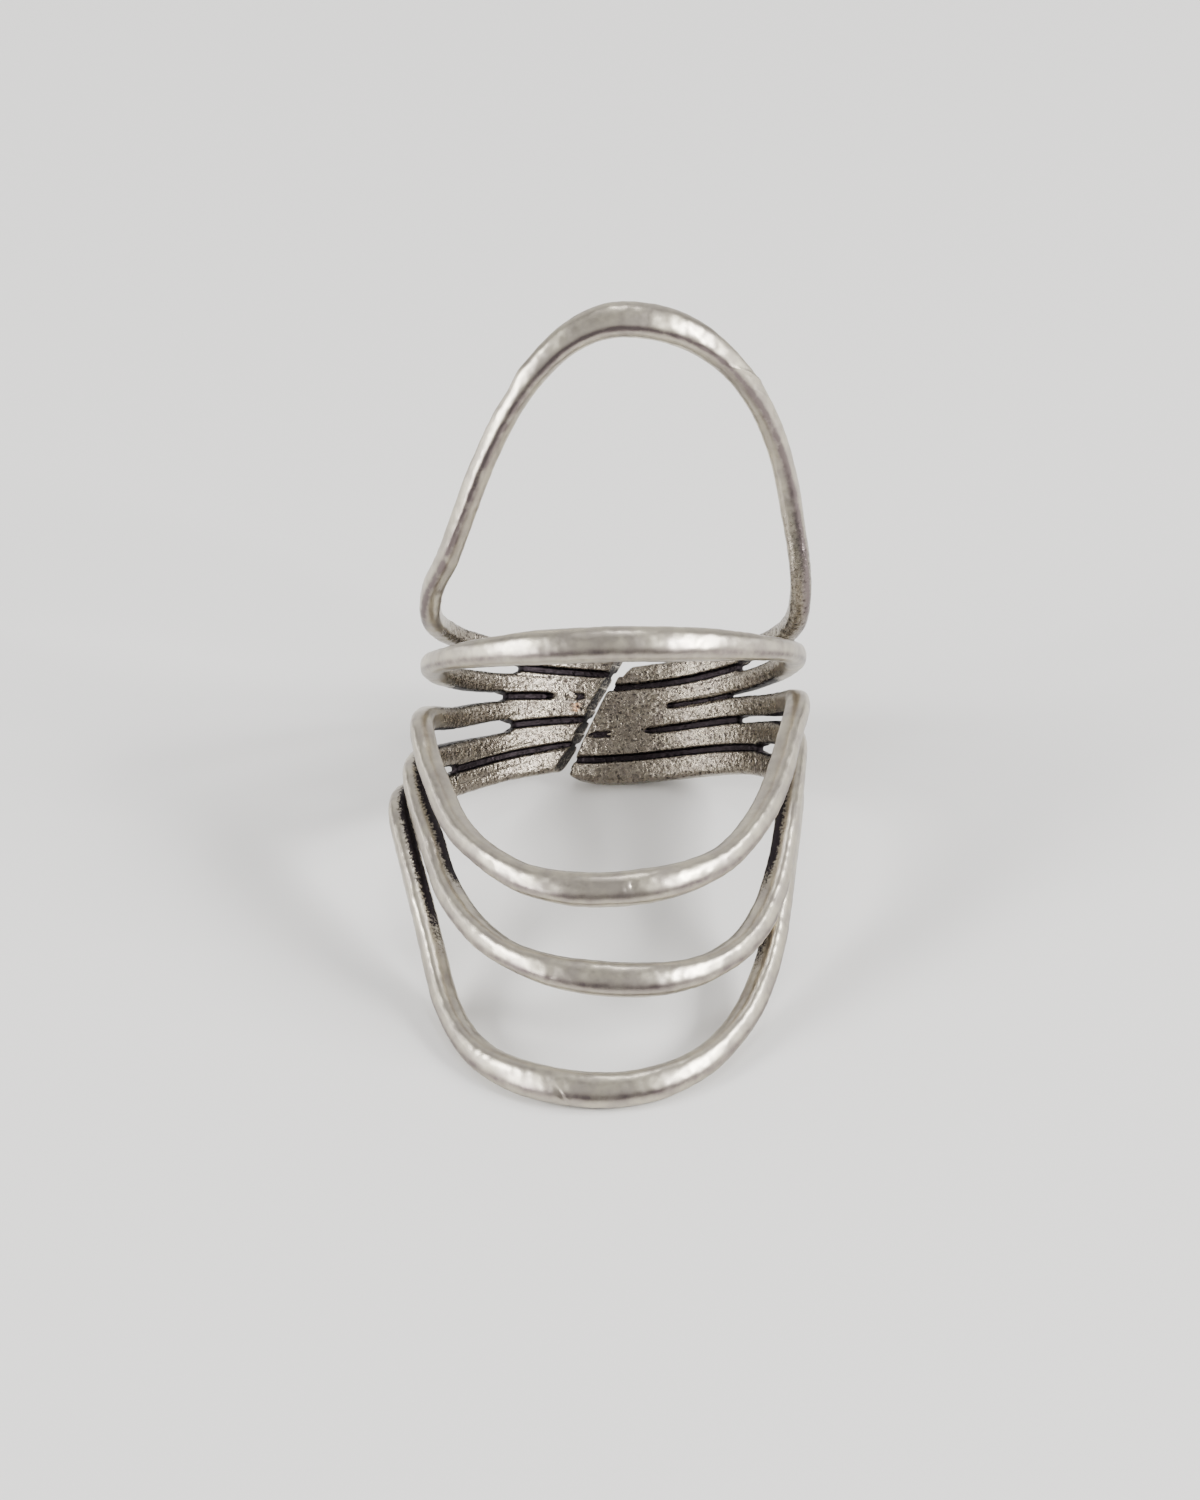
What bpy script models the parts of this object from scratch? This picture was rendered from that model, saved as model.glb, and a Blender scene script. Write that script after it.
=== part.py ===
"""Open-backed wire ring, cast in one piece.

A plain hoop circles the finger. A tall arch rises from it in front, and three nested swags hang below.
All five wires run round the back of the finger side by side, and fuse there into two band ends that face
each other across a slanted split. The ring rests leaning back, on its lowest swag and its band ends.

The ring's own frame: X across the finger, Y from its front to its back, Z along it, and the origin in the
middle of the hoop. Angles go round the finger in degrees, from 0 at the front centre, positive towards +X.
"""

import math
from collections import namedtuple

import bmesh
import bpy
import numpy as np
from mathutils import Matrix, Vector

MM = 0.001

# The finger, and where the wires' centre lines run round it
FINGER_DIAMETER = 17.5 * MM
CENTRE_RADIUS = FINGER_DIAMETER / 2 + 0.65 * MM

# The facets of a wire, and how square it is: 2 is an ellipse, and more is squarer
SIDES = 12
FRONT_SQUARENESS = 2.6
BACK_SQUARENESS = 3.6
CHORD_ERROR = 0.018 * MM
SHORTEST_STEP = 0.45 * MM
LONGEST_STEP = 1.2 * MM
SAMPLE_STEP = 0.05 * MM

# Each wire thins from its front to the finger's sides, and again to the flat strands behind the finger
SIDE_UNTIL = 98.0
BACK_FROM = 135.0
BACK_DEPTH = 1.10
# Widths and depths in millimetres; middle, front_until and side_from in degrees
WIRE_COLUMNS = "front_width side_width back_width front_depth side_depth middle front_until side_from"
Wire = namedtuple("Wire", WIRE_COLUMNS)
WIRES = {
    "arch": Wire(1.84, 1.16, 1.02, 1.30, 1.12, 8.0, 0.0, 50.0),
    "hoop": Wire(1.80, 1.15, 1.05, 1.35, 1.22, 0.0, 14.0, 72.0),
    "swag_short": Wire(1.77, 1.32, 1.05, 1.35, 1.25, 0.0, 8.0, 44.0),
    "swag_middle": Wire(1.77, 1.32, 1.08, 1.35, 1.28, 0.0, 5.0, 41.0),
    "swag_long": Wire(1.80, 1.32, 1.26, 1.35, 1.25, -7.0, 12.0, 55.0),
}
# Where each wire stops at the split, along X, and how long its right end's taper is; in millimetres
Ends = namedtuple("Ends", "left right taper")
ENDS = {
    "arch": Ends(0.23, 0.75, 0.0),
    "hoop": Ends(-0.47, -0.35, 0.0),
    "swag_short": Ends(-1.17, -0.96, 0.0),
    "swag_middle": Ends(-1.78, -1.56, 0.0),
    "swag_long": Ends(-2.54, -2.05, 2.4),
}
TAPERED_SHARE = 0.35

# The centre lines. out: how far beyond CENTRE_RADIUS; height: along the finger; both in millimetres
Knot = namedtuple("Knot", "angle out height")
PATHS = {
    "arch": (
        Knot(-187.0, 0.05, 1.25),
        Knot(-128.0, 0.10, 2.05),
        Knot(-104.0, 0.13, 2.50),
        Knot(-90.0, 0.13, 3.00),
        Knot(-80.5, 0.08, 3.85),
        Knot(-67.3, 0.00, 4.85),
        Knot(-56.3, 0.00, 6.75),
        Knot(-45.2, 0.00, 9.55),
        Knot(-33.0, 0.00, 12.45),
        Knot(-19.0, 0.00, 14.95),
        Knot(-3.0, 0.00, 16.42),
        Knot(13.0, 0.00, 16.47),
        Knot(31.3, 0.00, 15.48),
        Knot(49.0, 0.00, 13.55),
        Knot(62.2, 0.05, 11.42),
        Knot(73.0, 0.15, 8.80),
        Knot(80.0, 0.35, 6.20),
        Knot(86.0, 0.45, 4.10),
        Knot(94.0, 0.35, 2.90),
        Knot(108.0, 0.15, 2.15),
        Knot(130.0, 0.05, 1.62),
        Knot(158.0, 0.05, 0.92),
        Knot(180.0, 0.05, 0.60),
    ),
    "hoop": (
        Knot(-190.0, 0.00, 0.05),
        Knot(-150.0, 0.00, 0.12),
        Knot(-120.0, 0.00, -0.06),
        Knot(-90.0, 0.02, -0.02),
        Knot(-60.0, 0.00, -0.14),
        Knot(-30.0, 0.00, -0.17),
        Knot(0.0, 0.00, -0.10),
        Knot(60.0, 0.05, 0.30),
        Knot(90.0, 0.12, 0.50),
        Knot(120.0, 0.00, 0.16),
        Knot(150.0, 0.00, -0.30),
        Knot(190.0, 0.00, -0.74),
    ),
    "swag_short": (
        Knot(-190.0, 0.00, -1.15),
        Knot(-160.0, 0.00, -1.15),
        Knot(-137.0, 0.05, -1.55),
        Knot(-112.0, 0.20, -2.30),
        Knot(-94.0, 0.45, -2.75),
        Knot(-84.5, 0.55, -3.50),
        Knot(-78.3, 0.40, -4.90),
        Knot(-70.0, 0.18, -6.60),
        Knot(-61.0, 0.02, -8.45),
        Knot(-45.5, 0.00, -10.35),
        Knot(-27.0, 0.00, -11.93),
        Knot(-3.5, 0.00, -12.52),
        Knot(19.0, 0.00, -12.00),
        Knot(36.0, 0.00, -10.85),
        Knot(52.0, 0.00, -8.65),
        Knot(63.0, 0.00, -6.65),
        Knot(71.5, 0.05, -4.70),
        Knot(80.0, 0.20, -2.95),
        Knot(91.0, 0.25, -1.90),
        Knot(108.0, 0.10, -1.60),
        Knot(135.0, 0.00, -1.35),
        Knot(160.0, 0.00, -1.62),
        Knot(190.0, 0.00, -1.95),
    ),
    "swag_middle": (
        Knot(-190.0, 0.00, -2.15),
        Knot(-160.0, 0.00, -2.55),
        Knot(-135.0, 0.10, -3.40),
        Knot(-112.0, 0.45, -4.30),
        Knot(-99.0, 0.80, -4.85),
        Knot(-91.0, 0.88, -5.70),
        Knot(-85.3, 0.70, -7.10),
        Knot(-75.8, 0.25, -9.30),
        Knot(-67.0, 0.05, -11.40),
        Knot(-55.0, 0.00, -13.30),
        Knot(-38.0, 0.00, -15.30),
        Knot(-20.0, 0.00, -16.50),
        Knot(3.0, 0.00, -17.05),
        Knot(26.0, 0.00, -16.60),
        Knot(43.0, 0.00, -15.20),
        Knot(56.0, 0.05, -13.15),
        Knot(64.0, 0.10, -11.00),
        Knot(71.0, 0.10, -8.60),
        Knot(80.0, 0.05, -6.20),
        Knot(88.0, 0.10, -4.60),
        Knot(99.0, 0.10, -3.55),
        Knot(115.0, 0.05, -3.00),
        Knot(137.0, 0.00, -2.75),
        Knot(160.0, 0.00, -2.88),
        Knot(190.0, 0.00, -3.25),
    ),
    "swag_long": (
        Knot(-190.0, 0.00, -3.35),
        Knot(-160.0, 0.00, -3.98),
        Knot(-135.0, 0.25, -4.95),
        Knot(-114.0, 0.90, -6.00),
        Knot(-102.0, 1.55, -6.55),
        Knot(-95.0, 1.72, -7.40),
        Knot(-90.0, 1.45, -8.80),
        Knot(-83.0, 0.90, -11.30),
        Knot(-75.8, 0.38, -14.10),
        Knot(-67.3, 0.10, -17.00),
        Knot(-56.0, 0.00, -19.30),
        Knot(-39.0, 0.00, -21.25),
        Knot(-20.0, 0.00, -22.25),
        Knot(-3.0, 0.00, -22.57),
        Knot(16.0, 0.00, -22.05),
        Knot(34.0, 0.00, -20.45),
        Knot(47.8, -0.02, -18.20),
        Knot(57.5, -0.05, -15.90),
        Knot(65.2, -0.10, -13.20),
        Knot(73.2, -0.15, -10.60),
        Knot(84.5, -0.18, -8.40),
        Knot(93.0, -0.02, -6.90),
        Knot(102.0, 0.10, -5.60),
        Knot(117.0, 0.05, -4.75),
        Knot(140.0, 0.00, -4.28),
        Knot(165.0, 0.00, -4.42),
        Knot(180.0, 0.00, -4.58),
        Knot(190.0, 0.00, -4.55),
        Knot(198.0, 0.00, -4.45),
    ),
}

# The metal between neighbouring strands: its depth in millimetres, at angles from its start to the split.
# It is a recessed groove, or nearly flush with the strands where they are fused.
FLUSH = 1.00
GROOVE = 0.50
Web = namedtuple("Web", "upper lower profile")
WEBS = (
    Web("arch", "hoop", ((-149.0, GROOVE), (-180.0, GROOVE))),
    Web("hoop", "swag_short", ((-143.0, GROOVE), (-158.0, GROOVE), (-163.0, FLUSH), (-180.0, FLUSH))),
    Web("swag_short", "swag_middle", ((-146.0, GROOVE), (-180.0, GROOVE))),
    Web("swag_middle", "swag_long", ((-122.0, GROOVE), (-180.0, GROOVE))),
    Web("arch", "hoop", ((134.0, GROOVE), (180.0, GROOVE))),
    Web("hoop", "swag_short", ((138.0, GROOVE), (158.5, GROOVE), (162.0, FLUSH), (190.0, FLUSH))),
    Web("swag_short", "swag_middle", ((134.0, GROOVE), (167.5, GROOVE), (169.5, FLUSH), (190.0, FLUSH))),
    Web("swag_middle", "swag_long", ((124.0, GROOVE), (190.0, GROOVE))),
)
WEB_STEP = 3.0

# The split's two faces, each slanting along the finger and cut askew through the band
LEFT_SLANT = 30.0
RIGHT_SLANT = 25.0
SPLIT_SKEW = 13.0

# How the ring leans back at rest, and the small worn flats that it then stands on
REST_PITCH = -44.20
REST_ROLL = 3.85
FLAT_DEPTH = 0.07 * MM
FLOOR_CUTTER = 60.0 * MM

SILVER = (0.55, 0.52, 0.46, 1.0)
ROUGHNESS = 0.35


def smoothstep(value, low, high):
    """0 below low, 1 above high, and an even blend between."""
    t = np.clip((value - low) / (high - low), 0.0, 1.0)
    return t * t * (3.0 - 2.0 * t)


def natural_spline(places, values, at):
    """Natural cubic spline through one row of values for each place, read at new places."""
    steps = np.diff(places)
    slopes = np.diff(values, axis=0) / steps[:, None]
    system = np.eye(len(places))
    bends = np.zeros_like(values)
    for i in range(1, len(places) - 1):
        system[i, i - 1 : i + 2] = steps[i - 1], 2.0 * (steps[i - 1] + steps[i]), steps[i]
        bends[i] = 6.0 * (slopes[i] - slopes[i - 1])
    bends = np.linalg.solve(system, bends)
    k = np.clip(np.searchsorted(places, at) - 1, 0, len(steps) - 1)
    step = steps[k][:, None]
    before = (at - places[k])[:, None]
    after = step - before
    bent = bends[k] * (after**3 - after * step**2) + bends[k + 1] * (before**3 - before * step**2)
    return bent / (6.0 * step) + (values[k] * after + values[k + 1] * before) / step


def on_finger(angle, radius, height):
    """Points in the ring's frame from angles in degrees, radii and heights."""
    turn = np.radians(angle)
    return np.stack([radius * np.sin(turn), -radius * np.cos(turn), height], axis=1)


def split_angle(along_x, left):
    """The angle at which a strand meets the split, from its place along X."""
    turn = math.degrees(math.asin(along_x * MM / CENTRE_RADIUS))
    return -180.0 - turn if left else 180.0 - turn


def wire_samples(name):
    """Close samples of a wire's centre line: angles, radii and heights, cut off at the split."""
    rows = np.array(PATHS[name])
    rows[:, 1:] *= MM
    rows[:, 1] += CENTRE_RADIUS
    unrolled = np.stack([np.radians(rows[:, 0]) * rows[:, 1], rows[:, 2]], axis=1)
    places = np.concatenate([[0.0], np.cumsum(np.linalg.norm(np.diff(unrolled, axis=0), axis=1))])
    at = np.arange(0.0, places[-1], SAMPLE_STEP)
    angle, radius, height = natural_spline(places, rows, at).T
    inside = (angle > split_angle(ENDS[name].left, True)) & (angle < split_angle(ENDS[name].right, False))
    return angle[inside], radius[inside], height[inside]


def wire_size(name, angle):
    """A wire's width and depth at some angles."""
    wire = WIRES[name]
    from_front = smoothstep(np.abs(angle - wire.middle), wire.front_until, wire.side_from)
    from_side = smoothstep(np.abs(angle), SIDE_UNTIL, BACK_FROM)
    side_width = wire.side_width + (wire.back_width - wire.side_width) * from_side
    side_depth = wire.side_depth + (BACK_DEPTH - wire.side_depth) * from_side
    width = wire.front_width + (side_width - wire.front_width) * from_front
    depth = wire.front_depth + (side_depth - wire.front_depth) * from_front
    if ENDS[name].taper:
        to_end = np.radians(split_angle(ENDS[name].right, False) - angle) * CENTRE_RADIUS / MM
        rounding = 1.0 - np.clip(to_end / ENDS[name].taper, 0.0, 1.0)
        width *= TAPERED_SHARE + (1.0 - TAPERED_SHARE) * np.sqrt(1.0 - rounding**2)
    return width * MM, depth * MM


def spread(points):
    """Which samples to keep, so that the chords between them stay close to the line."""
    moves = np.diff(points, axis=0)
    lengths = np.linalg.norm(moves, axis=1)
    directions = moves / lengths[:, None]
    turns = np.linalg.norm(np.diff(directions, axis=0), axis=1)
    bend = np.interp(np.arange(len(points)), np.arange(1, len(points) - 1), turns / lengths[1:])
    step = np.sqrt(8.0 * CHORD_ERROR / np.maximum(bend, 1e-6))
    step = np.clip(step, SHORTEST_STEP, LONGEST_STEP)
    count = np.concatenate([[0.0], np.cumsum(lengths / step[1:])])
    wanted = np.linspace(0.0, count[-1], math.ceil(count[-1]) + 1)
    return np.unique(np.rint(np.interp(wanted, count, np.arange(len(points)))).astype(int))


def rounded_sections(angle, points, width, depth):
    """A ring of corners round each point: width lies in the finger's surface, depth points away from it."""
    along = np.gradient(points, axis=0)
    along /= np.linalg.norm(along, axis=1)[:, None]
    away = points * (1.0, 1.0, 0.0)
    away /= np.linalg.norm(away, axis=1)[:, None]
    across = np.cross(along, away)
    across /= np.linalg.norm(across, axis=1)[:, None]
    outward = np.cross(across, along)
    corner = 2.0 * np.pi * (np.arange(SIDES) + 0.5) / SIDES
    back = smoothstep(np.abs(angle), SIDE_UNTIL, BACK_FROM)
    power = (FRONT_SQUARENESS + (BACK_SQUARENESS - FRONT_SQUARENESS) * back)[:, None]
    size = (np.abs(np.cos(corner)) ** power + np.abs(np.sin(corner)) ** power) ** (-1.0 / power)
    u = np.cos(corner) * size * width[:, None] / 2.0
    v = np.sin(corner) * size * depth[:, None] / 2.0
    sections = points[:, None] + across[:, None] * u[:, :, None] + outward[:, None] * v[:, :, None]
    return sections, along


def cut_at_split(section, centre, along, slant):
    """Slide a section's corners along the wire onto a face of the split."""
    face = np.array([1.0, -math.tan(math.radians(SPLIT_SKEW)), -math.tan(math.radians(slant))])
    return section + along * (((centre - section) @ face) / (along @ face))[:, None]


def loft(name, sections, material):
    """A closed tube through the sections, as an object."""
    mesh = bpy.data.meshes.new(name)
    bm = bmesh.new()
    rings = [[bm.verts.new(corner) for corner in section] for section in sections]
    for ring, following in zip(rings, rings[1:]):
        for i in range(SIDES):
            j = (i + 1) % SIDES
            bm.faces.new((ring[i], ring[j], following[j], following[i]))
    bm.faces.new(rings[0])
    bm.faces.new(rings[-1])
    bmesh.ops.recalc_face_normals(bm, faces=bm.faces)
    bmesh.ops.triangulate(bm, faces=bm.faces)
    bm.to_mesh(mesh)
    bm.free()
    mesh.materials.append(material)
    mesh.shade_smooth()
    thing = bpy.data.objects.new(name, mesh)
    bpy.context.scene.collection.objects.link(thing)
    return thing


def make_wire(name, material):
    """One of the five wires, from one face of the split round the finger to the other."""
    angle, radius, height = wire_samples(name)
    points = on_finger(angle, radius, height)
    kept = spread(points)
    points = points[kept]
    width, depth = wire_size(name, angle[kept])
    sections, along = rounded_sections(angle[kept], points, width, depth)
    sections[0] = cut_at_split(sections[0], points[0], along[0], LEFT_SLANT)
    sections[-1] = cut_at_split(sections[-1], points[-1], along[-1], RIGHT_SLANT)
    return loft(name, sections, material)


def make_web(web, material):
    """The metal between two neighbouring strands, from its start to the split."""
    start = web.profile[0][0]
    left = start < 0.0
    slant = LEFT_SLANT if left else RIGHT_SLANT
    ends = [ENDS[name].left if left else ENDS[name].right for name in (web.upper, web.lower)]
    stop = split_angle(sum(ends) / 2.0, left)
    angle = np.linspace(start, stop, math.ceil(abs(stop - start) / WEB_STEP) + 1)
    strands = []
    for name in (web.upper, web.lower):
        strand_angle, radius, height = wire_samples(name)
        strands.append((np.interp(angle, strand_angle, radius), np.interp(angle, strand_angle, height)))
    (upper_radius, upper_height), (lower_radius, lower_height) = strands
    points = on_finger(angle, (upper_radius + lower_radius) / 2.0, (upper_height + lower_height) / 2.0)
    places, depths = np.abs(web.profile).T
    depth = np.interp(np.abs(angle), places, depths) * MM
    sections, along = rounded_sections(angle, points, upper_height - lower_height, depth)
    sections[-1] = cut_at_split(sections[-1], points[-1], along[-1], slant)
    return loft("web", sections, material)


def make_silver():
    """Plain cast silver."""
    material = bpy.data.materials.new("silver")
    material.use_nodes = True
    shader = material.node_tree.nodes["Principled BSDF"]
    shader.inputs["Base Color"].default_value = SILVER
    shader.inputs["Metallic"].default_value = 1.0
    shader.inputs["Roughness"].default_value = ROUGHNESS
    return material


def rest_place(pieces):
    """Lean the ring back, its box centred on the origin and its lowest points FLAT_DEPTH below the floor."""
    lean = Matrix.Rotation(math.radians(REST_ROLL), 4, "Y")
    lean = lean @ Matrix.Rotation(math.radians(REST_PITCH), 4, "X")
    corners = np.array([lean @ vertex.co for piece in pieces for vertex in piece.data.vertices])
    low, high = corners.min(axis=0), corners.max(axis=0)
    place = Vector((-(low[0] + high[0]) / 2.0, -(low[1] + high[1]) / 2.0, -low[2] - FLAT_DEPTH))
    return Matrix.Translation(place) @ lean


def make_floor_cutter():
    """A block whose top is the floor that the ring rests on."""
    mesh = bpy.data.meshes.new("floor_cutter")
    bm = bmesh.new()
    bmesh.ops.create_cube(bm, size=FLOOR_CUTTER)
    bmesh.ops.translate(bm, verts=bm.verts, vec=(0.0, 0.0, -FLOOR_CUTTER / 2.0))
    bm.to_mesh(mesh)
    bm.free()
    cutter = bpy.data.objects.new("floor_cutter", mesh)
    bpy.context.scene.collection.objects.link(cutter)
    return cutter


def hide(thing):
    """Keep a guide or a cutter out of the finished part."""
    thing.hide_render = True
    thing.display_type = "WIRE"


def main():
    for thing in list(bpy.data.objects):
        bpy.data.objects.remove(thing, do_unlink=True)
    silver = make_silver()
    wires = {name: make_wire(name, silver) for name in WIRES}
    webs = [make_web(web, silver) for web in WEBS]
    place = rest_place(wires.values())

    # The hoop carries the rest: everything else is fused to it, and the floor's flats are cut last
    ring = wires.pop("hoop")
    ring.name = "wire_ring"
    ring.matrix_world = place
    fused = bpy.data.collections.new("fused")
    bpy.context.scene.collection.children.link(fused)
    for piece in [*wires.values(), *webs]:
        bpy.context.scene.collection.objects.unlink(piece)
        fused.objects.link(piece)
        piece.matrix_world = place
        hide(piece)
    union = ring.modifiers.new("fuse", "BOOLEAN")
    union.operation = "UNION"
    union.operand_type = "COLLECTION"
    union.collection = fused
    cutter = make_floor_cutter()
    hide(cutter)
    flats = ring.modifiers.new("flats", "BOOLEAN")
    flats.operation = "DIFFERENCE"
    flats.object = cutter


main()
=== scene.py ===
import math
from collections import namedtuple

import bpy
import numpy as np
from mathutils import Matrix, Vector, noise


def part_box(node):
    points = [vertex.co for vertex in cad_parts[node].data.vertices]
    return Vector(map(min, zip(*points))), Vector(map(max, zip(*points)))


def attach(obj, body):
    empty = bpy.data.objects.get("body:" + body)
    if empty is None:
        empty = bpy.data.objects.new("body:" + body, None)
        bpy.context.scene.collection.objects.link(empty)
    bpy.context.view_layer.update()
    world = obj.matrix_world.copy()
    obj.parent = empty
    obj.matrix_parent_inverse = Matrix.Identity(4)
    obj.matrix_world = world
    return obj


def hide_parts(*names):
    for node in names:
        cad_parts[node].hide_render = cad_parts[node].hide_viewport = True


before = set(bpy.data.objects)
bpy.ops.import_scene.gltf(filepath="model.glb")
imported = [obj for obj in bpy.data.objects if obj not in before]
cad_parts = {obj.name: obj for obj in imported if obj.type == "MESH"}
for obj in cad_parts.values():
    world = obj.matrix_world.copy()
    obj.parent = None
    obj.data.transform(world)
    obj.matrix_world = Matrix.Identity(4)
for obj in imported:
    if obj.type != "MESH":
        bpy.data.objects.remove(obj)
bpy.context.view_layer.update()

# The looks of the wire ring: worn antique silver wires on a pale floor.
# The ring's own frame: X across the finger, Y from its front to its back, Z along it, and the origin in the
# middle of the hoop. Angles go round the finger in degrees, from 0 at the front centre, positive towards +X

MM = 0.001
NODE = "wire_ring"

# The finger, and where the wires' centre lines run round it
FINGER_DIAMETER = 17.5 * MM
CENTRE_RADIUS = FINGER_DIAMETER / 2 + 0.65 * MM

# The mesh of a wire, finer where the band is pitted
SIDES = 56
FRONT_STEP = 0.09 * MM
BACK_STEP = 0.055 * MM
SAMPLE_STEP = 0.02 * MM
# How square a section is: 2 is an ellipse, and more is squarer
FRONT_SQUARENESS = 2.6
BACK_SQUARENESS = 3.8
WEB_SQUARENESS = 8.0

# Each wire thins from its front to the finger's sides, and again to the flat strands behind the finger
SIDE_UNTIL = 98.0
BACK_FROM = 135.0
BACK_DEPTH = 1.10
# Widths and depths in millimetres; middle, front_until and side_from in degrees
WIRE_COLUMNS = "front_width side_width back_width front_depth side_depth middle front_until side_from"
Wire = namedtuple("Wire", WIRE_COLUMNS)
WIRES = {
    "arch": Wire(1.84, 1.16, 1.02, 1.30, 1.12, 8.0, 0.0, 50.0),
    "hoop": Wire(1.80, 1.15, 1.05, 1.35, 1.22, 0.0, 14.0, 72.0),
    "swag_short": Wire(1.77, 1.32, 1.05, 1.35, 1.25, 0.0, 8.0, 44.0),
    "swag_middle": Wire(1.77, 1.32, 1.08, 1.35, 1.28, 0.0, 5.0, 41.0),
    "swag_long": Wire(1.80, 1.32, 1.26, 1.35, 1.25, -7.0, 12.0, 55.0),
}
# Where each wire stops at the split, along X, and how long its right end's taper is; in millimetres
Ends = namedtuple("Ends", "left right taper")
ENDS = {
    "arch": Ends(0.23, 0.75, 0.0),
    "hoop": Ends(-0.47, -0.35, 0.0),
    "swag_short": Ends(-1.17, -0.96, 0.0),
    "swag_middle": Ends(-1.78, -1.56, 0.0),
    "swag_long": Ends(-2.54, -2.05, 2.4),
}
TAPERED_SHARE = 0.35

# The centre lines. out: how far beyond CENTRE_RADIUS; height: along the finger; both in millimetres
Knot = namedtuple("Knot", "angle out height")
PATHS = {
    "arch": (
        Knot(-187.0, 0.05, 1.25),
        Knot(-128.0, 0.10, 2.05),
        Knot(-104.0, 0.13, 2.50),
        Knot(-90.0, 0.13, 3.00),
        Knot(-80.5, 0.08, 3.85),
        Knot(-67.3, 0.00, 4.85),
        Knot(-56.3, 0.00, 6.75),
        Knot(-45.2, 0.00, 9.55),
        Knot(-33.0, 0.00, 12.45),
        Knot(-19.0, 0.00, 14.95),
        Knot(-3.0, 0.00, 16.42),
        Knot(13.0, 0.00, 16.47),
        Knot(31.3, 0.00, 15.48),
        Knot(49.0, 0.00, 13.55),
        Knot(62.2, 0.05, 11.42),
        Knot(73.0, 0.15, 8.80),
        Knot(80.0, 0.35, 6.20),
        Knot(86.0, 0.45, 4.10),
        Knot(94.0, 0.35, 2.90),
        Knot(108.0, 0.15, 2.15),
        Knot(130.0, 0.05, 1.62),
        Knot(158.0, 0.05, 0.92),
        Knot(180.0, 0.05, 0.60),
    ),
    "hoop": (
        Knot(-190.0, 0.00, 0.05),
        Knot(-150.0, 0.00, 0.12),
        Knot(-120.0, 0.00, -0.06),
        Knot(-90.0, 0.02, -0.02),
        Knot(-60.0, 0.00, -0.14),
        Knot(-30.0, 0.00, -0.17),
        Knot(0.0, 0.00, -0.10),
        Knot(60.0, 0.05, 0.30),
        Knot(90.0, 0.12, 0.50),
        Knot(120.0, 0.00, 0.16),
        Knot(150.0, 0.00, -0.30),
        Knot(190.0, 0.00, -0.74),
    ),
    "swag_short": (
        Knot(-190.0, 0.00, -1.15),
        Knot(-160.0, 0.00, -1.15),
        Knot(-137.0, 0.05, -1.55),
        Knot(-112.0, 0.20, -2.30),
        Knot(-94.0, 0.45, -2.75),
        Knot(-84.5, 0.55, -3.50),
        Knot(-78.3, 0.40, -4.90),
        Knot(-70.0, 0.18, -6.60),
        Knot(-61.0, 0.02, -8.45),
        Knot(-45.5, 0.00, -10.35),
        Knot(-27.0, 0.00, -11.93),
        Knot(-3.5, 0.00, -12.52),
        Knot(19.0, 0.00, -12.00),
        Knot(36.0, 0.00, -10.85),
        Knot(52.0, 0.00, -8.65),
        Knot(63.0, 0.00, -6.65),
        Knot(71.5, 0.05, -4.70),
        Knot(80.0, 0.20, -2.95),
        Knot(91.0, 0.25, -1.90),
        Knot(108.0, 0.10, -1.60),
        Knot(135.0, 0.00, -1.35),
        Knot(160.0, 0.00, -1.62),
        Knot(190.0, 0.00, -1.95),
    ),
    "swag_middle": (
        Knot(-190.0, 0.00, -2.15),
        Knot(-160.0, 0.00, -2.55),
        Knot(-135.0, 0.10, -3.40),
        Knot(-112.0, 0.45, -4.30),
        Knot(-99.0, 0.80, -4.85),
        Knot(-91.0, 0.88, -5.70),
        Knot(-85.3, 0.70, -7.10),
        Knot(-75.8, 0.25, -9.30),
        Knot(-67.0, 0.05, -11.40),
        Knot(-55.0, 0.00, -13.30),
        Knot(-38.0, 0.00, -15.30),
        Knot(-20.0, 0.00, -16.50),
        Knot(3.0, 0.00, -17.05),
        Knot(26.0, 0.00, -16.60),
        Knot(43.0, 0.00, -15.20),
        Knot(56.0, 0.05, -13.15),
        Knot(64.0, 0.10, -11.00),
        Knot(71.0, 0.10, -8.60),
        Knot(80.0, 0.05, -6.20),
        Knot(88.0, 0.10, -4.60),
        Knot(99.0, 0.10, -3.55),
        Knot(115.0, 0.05, -3.00),
        Knot(137.0, 0.00, -2.75),
        Knot(160.0, 0.00, -2.88),
        Knot(190.0, 0.00, -3.25),
    ),
    "swag_long": (
        Knot(-190.0, 0.00, -3.35),
        Knot(-160.0, 0.00, -3.98),
        Knot(-135.0, 0.25, -4.95),
        Knot(-114.0, 0.90, -6.00),
        Knot(-102.0, 1.55, -6.55),
        Knot(-95.0, 1.72, -7.40),
        Knot(-90.0, 1.45, -8.80),
        Knot(-83.0, 0.90, -11.30),
        Knot(-75.8, 0.38, -14.10),
        Knot(-67.3, 0.10, -17.00),
        Knot(-56.0, 0.00, -19.30),
        Knot(-39.0, 0.00, -21.25),
        Knot(-20.0, 0.00, -22.25),
        Knot(-3.0, 0.00, -22.57),
        Knot(16.0, 0.00, -22.05),
        Knot(34.0, 0.00, -20.45),
        Knot(47.8, -0.02, -18.20),
        Knot(57.5, -0.05, -15.90),
        Knot(65.2, -0.10, -13.20),
        Knot(73.2, -0.15, -10.60),
        Knot(84.5, -0.18, -8.40),
        Knot(93.0, -0.02, -6.90),
        Knot(102.0, 0.10, -5.60),
        Knot(117.0, 0.05, -4.75),
        Knot(140.0, 0.00, -4.28),
        Knot(165.0, 0.00, -4.42),
        Knot(180.0, 0.00, -4.58),
        Knot(190.0, 0.00, -4.55),
        Knot(198.0, 0.00, -4.45),
    ),
}

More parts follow.
